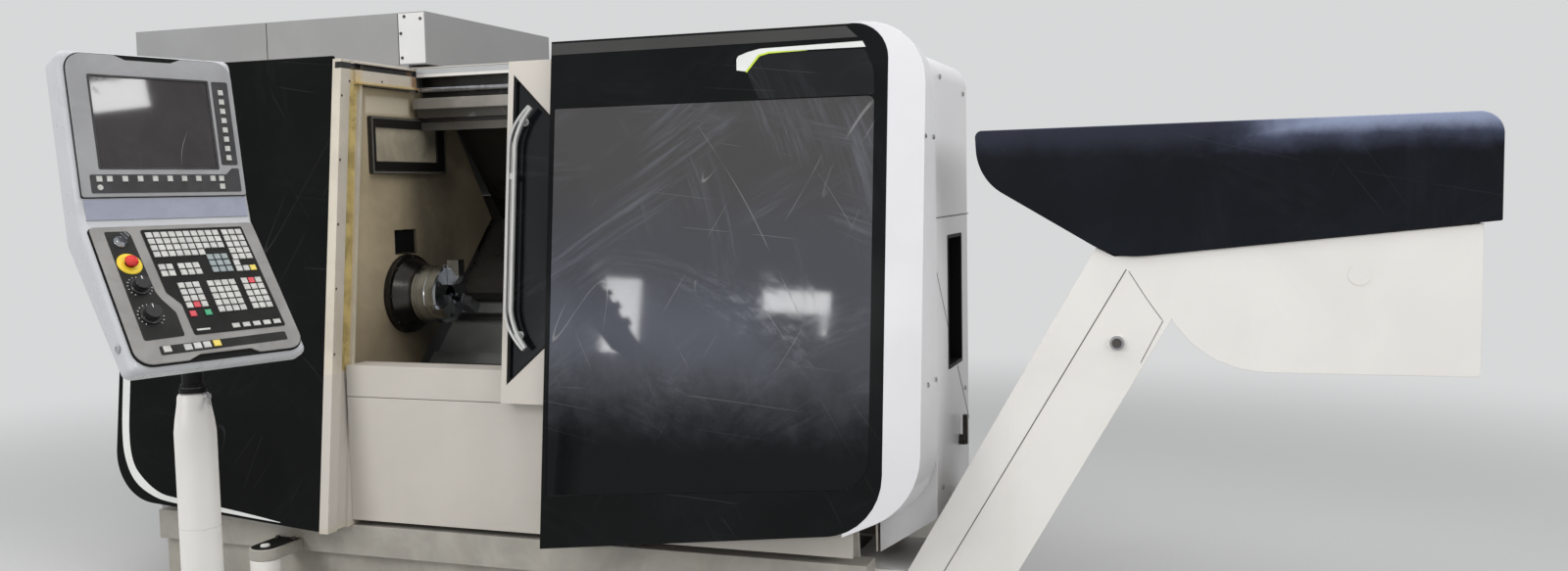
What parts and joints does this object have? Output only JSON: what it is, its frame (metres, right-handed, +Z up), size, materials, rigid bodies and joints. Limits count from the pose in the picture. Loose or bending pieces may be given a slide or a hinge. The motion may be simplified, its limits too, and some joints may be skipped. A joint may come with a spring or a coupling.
{
  "type": "cnc turning lathe",
  "caption": "Slant-bed turning lathe: leaning black front, sliding door, chuck in view, control panel on a swing arm, rising chip conveyor.",
  "frame": {"origin": "middle of the footprint, on the floor", "axes": "+X along the front towards the conveyor, +Y from the operator into the machine, +Z up"},
  "size_m": [5.0053, 2.8616, 2.149],
  "materials": {
    "arm_bracket": "cream white paint, semi gloss",
    "cabinet_door": "light grey paint",
    "chuck_body": "ground steel",
    "chuck_jaw_1": "ground steel",
    "chuck_jaw_2": "ground steel",
    "chuck_jaw_3": "ground steel",
    "clamp_lever": "ground steel",
    "control_arm": "cream white paint, semi gloss",
    "conveyor_belt": "ground steel",
    "conveyor_casing": "cream white paint, semi gloss",
    "conveyor_hood": "satin blue-black paint",
    "conveyor_motor": "light grey paint",
    "conveyor_shaft": "ground steel",
    "conveyor_trough": "cream white paint, semi gloss",
    "cycle_start_key": "green",
    "cycle_stop_key": "red",
    "desk_bezel": "fine texture",
    "door_handle": "ground steel",
    "door_jamb": "cream white paint, semi gloss",
    "door_window": "dark tinted, scratched",
    "electrical_cabinet": "light grey paint",
    "emergency_stop": "red",
    "feed_override": "black",
    "headstock": "machined and oiled casting",
    "headstock_wall": "beige paint stained by oil",
    "inner_rear_slope": "dark oiled sheet",
    "key_switch": "ground steel",
    "keypad": "black field with light keys",
    "left_end_cover": "cream white paint, semi gloss",
    "left_front_panel": "satin black paint",
    "lower_front_plate": "cream white paint, semi gloss",
    "machine_base": "cream white paint, semi gloss",
    "main_switch": "red",
    "panel_housing": "fine texture",
    "rear_panel": "cream white paint, semi gloss",
    "right_bulkhead": "cream white paint, semi gloss",
    "right_end_shell": "cream white paint, semi gloss",
    "right_front_panel": "satin black paint",
    "right_side_cover": "cream white paint, semi gloss",
    "right_window": "dark tinted, scratched",
    "roof": "cream white paint, semi gloss",
    "screen": "dark screen cover",
    "screen_bezel": "fine texture",
    "side_latch": "ground steel",
    "sill": "cream white paint, semi gloss",
    "slant_bed": "machined and oiled casting",
    "sliding_door": "cream white paint, semi gloss",
    "spindle": "ground steel",
    "spindle_override": "black",
    "tailstock": "machined and oiled casting",
    "tailstock_quill": "ground steel",
    "top_beam": "cream white paint, semi gloss",
    "turret_disc": "ground steel",
    "turret_slide": "machined and oiled casting",
    "way_cover_fixed": "dark oiled sheet",
    "way_cover_middle": "dark oiled sheet",
    "way_cover_saddle": "dark oiled sheet",
    "work_lamp": "satin black paint",
    "z_saddle": "machined and oiled casting"
  },
  "bodies": {
    "machine": {"machine_base": "machine_base", "slant_bed": "slant_bed", "headstock": "headstock", "headstock_wall": "headstock_wall", "work_lamp": "work_lamp", "lower_front_plate": "lower_front_plate", "sill": "sill", "door_jamb": "door_jamb", "top_beam": "top_beam", "left_front_panel": "left_front_panel", "right_front_panel": "right_front_panel", "right_window": "right_window", "right_end_shell": "right_end_shell", "left_end_cover": "left_end_cover", "roof": "roof", "rear_panel": "rear_panel", "right_bulkhead": "right_bulkhead", "inner_rear_slope": "inner_rear_slope", "way_cover_fixed": "way_cover_fixed", "right_side_cover": "right_side_cover", "electrical_cabinet": "electrical_cabinet", "conveyor_trough": "conveyor_trough", "conveyor_casing": "conveyor_casing", "conveyor_hood": "conveyor_hood", "conveyor_motor": "conveyor_motor", "conveyor_belt": "conveyor_belt", "arm_bracket": "arm_bracket"},
    "spindle_unit": {"spindle": "spindle", "chuck_body": "chuck_body"},
    "jaw_1": {"chuck_jaw_1": "chuck_jaw_1"},
    "jaw_2": {"chuck_jaw_2": "chuck_jaw_2"},
    "jaw_3": {"chuck_jaw_3": "chuck_jaw_3"},
    "saddle": {"z_saddle": "z_saddle", "way_cover_saddle": "way_cover_saddle"},
    "middle_cover": {"way_cover_middle": "way_cover_middle"},
    "cross_slide": {"turret_slide": "turret_slide"},
    "tool_disc": {"turret_disc": "turret_disc"},
    "tailstock_unit": {"tailstock": "tailstock"},
    "quill": {"tailstock_quill": "tailstock_quill"},
    "door": {"sliding_door": "sliding_door", "door_window": "door_window", "door_handle": "door_handle"},
    "drive_drum": {"conveyor_shaft": "conveyor_shaft"},
    "swing_arm": {"control_arm": "control_arm"},
    "arm_clamp": {"clamp_lever": "clamp_lever"},
    "control_panel": {"panel_housing": "panel_housing", "screen_bezel": "screen_bezel", "screen": "screen", "desk_bezel": "desk_bezel", "keypad": "keypad"},
    "start_key": {"cycle_start_key": "cycle_start_key"},
    "stop_key": {"cycle_stop_key": "cycle_stop_key"},
    "lock_key": {"key_switch": "key_switch"},
    "estop": {"emergency_stop": "emergency_stop"},
    "spindle_knob": {"spindle_override": "spindle_override"},
    "feed_knob": {"feed_override": "feed_override"},
    "cabinet_leaf": {"cabinet_door": "cabinet_door"},
    "isolator": {"main_switch": "main_switch"},
    "side_catch": {"side_latch": "side_latch"}
  },
  "joints": [
    {"name": "spindle_turn", "type": "hinge", "parent": "machine", "child": "spindle_unit", "pos_m": [-1.08835, 0.40579, 1.083], "axis": [1, 0, 0], "continuous": true},
    {"name": "jaw_1_slide", "type": "slide", "parent": "spindle_unit", "child": "jaw_1", "axis": [0, 0, 1], "range_m": [-0.003, 0.006]},
    {"name": "jaw_2_slide", "type": "slide", "parent": "spindle_unit", "child": "jaw_2", "axis": [0, -0.866, -0.5], "range_m": [-0.003, 0.006]},
    {"name": "jaw_3_slide", "type": "slide", "parent": "spindle_unit", "child": "jaw_3", "axis": [0, 0.866, -0.5], "range_m": [-0.003, 0.006]},
    {"name": "z_axis", "type": "slide", "parent": "machine", "child": "saddle", "axis": [1, 0, 0], "range_m": [-0.62, 0]},
    {"name": "cover_slide", "type": "slide", "parent": "machine", "child": "middle_cover", "axis": [1, 0, 0], "range_m": [-0.31, 0]},
    {"name": "x_axis", "type": "slide", "parent": "saddle", "child": "cross_slide", "axis": [0, 0.7071, 0.7071], "range_m": [-0.224, 0.03]},
    {"name": "turret_index", "type": "hinge", "parent": "cross_slide", "child": "tool_disc", "pos_m": [-0.03835, 0.69439, 1.37165], "axis": [1, 0, 0], "continuous": true},
    {"name": "tailstock_slide", "type": "slide", "parent": "machine", "child": "tailstock_unit", "axis": [1, 0, 0], "range_m": [-0.25, 0.03]},
    {"name": "quill_slide", "type": "slide", "parent": "tailstock_unit", "child": "quill", "axis": [1, 0, 0], "range_m": [-0.06, 0.045]},
    {"name": "sliding_door", "type": "slide", "parent": "machine", "child": "door", "axis": [1, 0, 0], "range_m": [-0.64, 0]},
    {"name": "conveyor_drive", "type": "hinge", "parent": "machine", "child": "drive_drum", "pos_m": [2.16165, 0.28579, 1.19], "axis": [0, 1, 0], "continuous": true},
    {"name": "arm_swing", "type": "hinge", "parent": "machine", "child": "swing_arm", "pos_m": [-1.35835, -0.14421, 0.2], "axis": [0, 0, 1], "range_deg": [-35, 25]},
    {"name": "clamp_lever_turn", "type": "hinge", "parent": "swing_arm", "child": "arm_clamp", "pos_m": [-0.66835, -1.11221, 0.947], "axis": [1, 0, 0], "range_deg": [-60, 60]},
    {"name": "panel_swivel", "type": "hinge", "parent": "swing_arm", "child": "control_panel", "pos_m": [-0.70335, -1.11221, 1], "axis": [0, 0, 1], "range_deg": [-75, 75]},
    {"name": "start_press", "type": "slide", "parent": "control_panel", "child": "start_key", "axis": [-0.7776, 0.2377, -0.5821], "range_m": [0, 0.0015], "stiffness_N_per_m": 300},
    {"name": "stop_press", "type": "slide", "parent": "control_panel", "child": "stop_key", "axis": [-0.7776, 0.2377, -0.5821], "range_m": [0, 0.0015], "stiffness_N_per_m": 300},
    {"name": "key_turn", "type": "hinge", "parent": "control_panel", "child": "lock_key", "pos_m": [-0.72385, -1.29694, 1.35276], "axis": [0.7776, -0.2377, 0.5821], "range_deg": [0, 90]},
    {"name": "estop_press", "type": "slide", "parent": "control_panel", "child": "estop", "axis": [-0.7776, 0.2377, -0.5821], "range_m": [0, 0.004]},
    {"name": "spindle_override_turn", "type": "hinge", "parent": "control_panel", "child": "spindle_knob", "pos_m": [-0.64978, -1.31749, 1.24543], "axis": [0.7776, -0.2377, 0.5821], "range_deg": [-120, 120]},
    {"name": "feed_override_turn", "type": "hinge", "parent": "control_panel", "child": "feed_knob", "pos_m": [-0.60472, -1.33336, 1.17875], "axis": [0.7776, -0.2377, 0.5821], "range_deg": [-135, 135]},
    {"name": "cabinet_hinge", "type": "hinge", "parent": "machine", "child": "cabinet_leaf", "pos_m": [-2.47065, 1.41279, 1], "axis": [0, 0, 1], "range_deg": [-110, 0]},
    {"name": "isolator_turn", "type": "hinge", "parent": "cabinet_leaf", "child": "isolator", "pos_m": [-2.47835, 0.68779, 1.5], "axis": [1, 0, 0], "range_deg": [0, 90]},
    {"name": "side_catch_turn", "type": "hinge", "parent": "machine", "child": "side_catch", "pos_m": [0.98165, 0.50579, 0.6], "axis": [1, 0, 0], "range_deg": [0, 90]}
  ],
  "couplings": [
    {"joint": "jaw_2_slide", "follows": "jaw_1_slide", "ratio": 1},
    {"joint": "jaw_3_slide", "follows": "jaw_1_slide", "ratio": 1},
    {"joint": "cover_slide", "follows": "z_axis", "ratio": 0.5}
  ]
}
